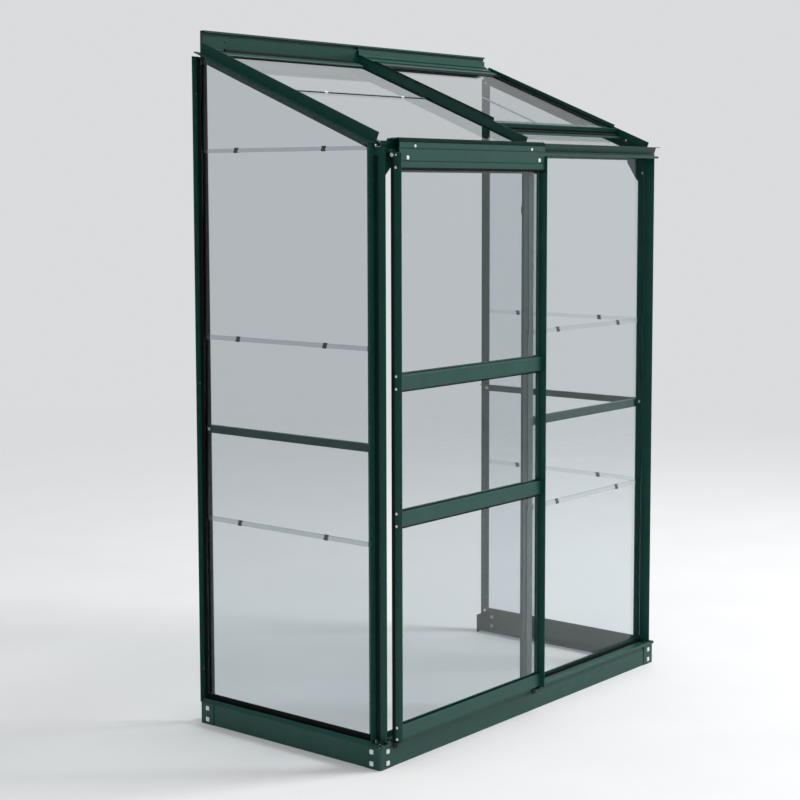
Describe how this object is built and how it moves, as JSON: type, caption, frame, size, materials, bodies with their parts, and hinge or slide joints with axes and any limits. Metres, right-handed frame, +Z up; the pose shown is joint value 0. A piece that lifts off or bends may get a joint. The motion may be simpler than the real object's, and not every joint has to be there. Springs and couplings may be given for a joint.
{
  "type": "lean-to greenhouse",
  "caption": "Narrow lean-to greenhouse with a mono-pitch glass roof, overlapping wall panes, a sliding glazed door on rollers and a roof vent hinged along the wall plate.",
  "frame": {"origin": "middle of the base on the ground: centre of the bounding box in plan, at its lowest level", "axes": "+X to the right along the front, +Y from the front towards the wall it leans on, +Z up"},
  "size_m": [1.318, 0.694, 1.904],
  "materials": {
    "green_coat": "dark green powder coat, satin",
    "glass": "clear horticultural glass, 3 mm",
    "plated_steel": "bright zinc plate",
    "black_plastic": "black moulded plastic",
    "roller_nylon": "off-white nylon"
  },
  "bodies": {
    "frame": {"base_front": "green_coat", "base_left": "green_coat", "base_right": "green_coat", "bracket_back_left": "green_coat", "bracket_back_right": "green_coat", "bracket_front_left": "green_coat", "bracket_front_right": "green_coat", "centre_post": "green_coat", "corner_post_left": "green_coat", "corner_post_right": "green_coat", "door_catch": "black_plastic", "eaves_gusset_left": "green_coat", "eaves_gusset_right": "green_coat", "eaves_gutter": "green_coat", "front_pane_1": "glass", "front_pane_2": "glass", "front_pane_3": "glass", "gable_left_pane_1": "glass", "gable_left_pane_2": "glass", "gable_left_pane_3": "glass", "gable_left_pane_4": "glass", "gable_right_pane_1": "glass", "gable_right_pane_2": "glass", "gable_right_pane_3": "glass", "gable_right_pane_4": "glass", "mid_rail_front": "green_coat", "mid_rail_left": "green_coat", "mid_rail_right": "green_coat", "roof_bar_centre": "green_coat", "roof_bar_left": "green_coat", "roof_bar_right": "green_coat", "roof_left_pane_1": "glass", "roof_left_pane_2": "glass", "roof_right_pane": "glass", "vent_sill": "green_coat", "vent_stay_peg": "plated_steel", "wall_plate": "green_coat", "wall_post_left": "green_coat", "wall_post_right": "green_coat"},
    "door": {"door_axle_left": "plated_steel", "door_axle_right": "plated_steel", "door_glide_left": "black_plastic", "door_glide_right": "black_plastic", "door_hood": "green_coat", "door_pane_bottom": "glass", "door_pane_middle": "glass", "door_pane_top": "glass", "door_rail_bottom": "green_coat", "door_rail_lower": "green_coat", "door_rail_upper": "green_coat", "door_stile_left": "green_coat", "door_stile_right": "green_coat"},
    "door_wheel_left": {"door_wheel_left": "roller_nylon"},
    "door_wheel_right": {"door_wheel_right": "roller_nylon"},
    "vent": {"vent_bottom_rail": "green_coat", "vent_hinge_rail": "green_coat", "vent_pane": "glass", "vent_side_left": "green_coat", "vent_side_right": "green_coat"},
    "vent_stay": {"vent_stay": "plated_steel"}
  },
  "joints": [
    {"name": "door_slide", "type": "slide", "parent": "frame", "child": "door", "axis": [1, 0, 0], "range_m": [0, 0.6]},
    {"name": "wheel_left_spin", "type": "hinge", "parent": "door", "child": "door_wheel_left", "pos_m": [-0.5522, -0.323, 1.5853], "axis": [0, 1, 0], "continuous": true},
    {"name": "wheel_right_spin", "type": "hinge", "parent": "door", "child": "door_wheel_right", "pos_m": [-0.0504, -0.323, 1.5853], "axis": [0, 1, 0], "continuous": true},
    {"name": "vent_open", "type": "hinge", "parent": "frame", "child": "vent", "pos_m": [0.3195, 0.3375, 1.8968], "axis": [-1, 0, 0], "range_deg": [0, 40]},
    {"name": "vent_stay_swing", "type": "hinge", "parent": "vent", "child": "vent_stay", "pos_m": [0.292, -0.1401, 1.66015], "axis": [-1, 0, 0], "range_deg": [0, 85]}
  ],
  "couplings": [
    {"joint": "wheel_left_spin", "follows": "door_slide", "rad_per_m": 116.28},
    {"joint": "wheel_right_spin", "follows": "door_slide", "rad_per_m": 116.28}
  ]
}
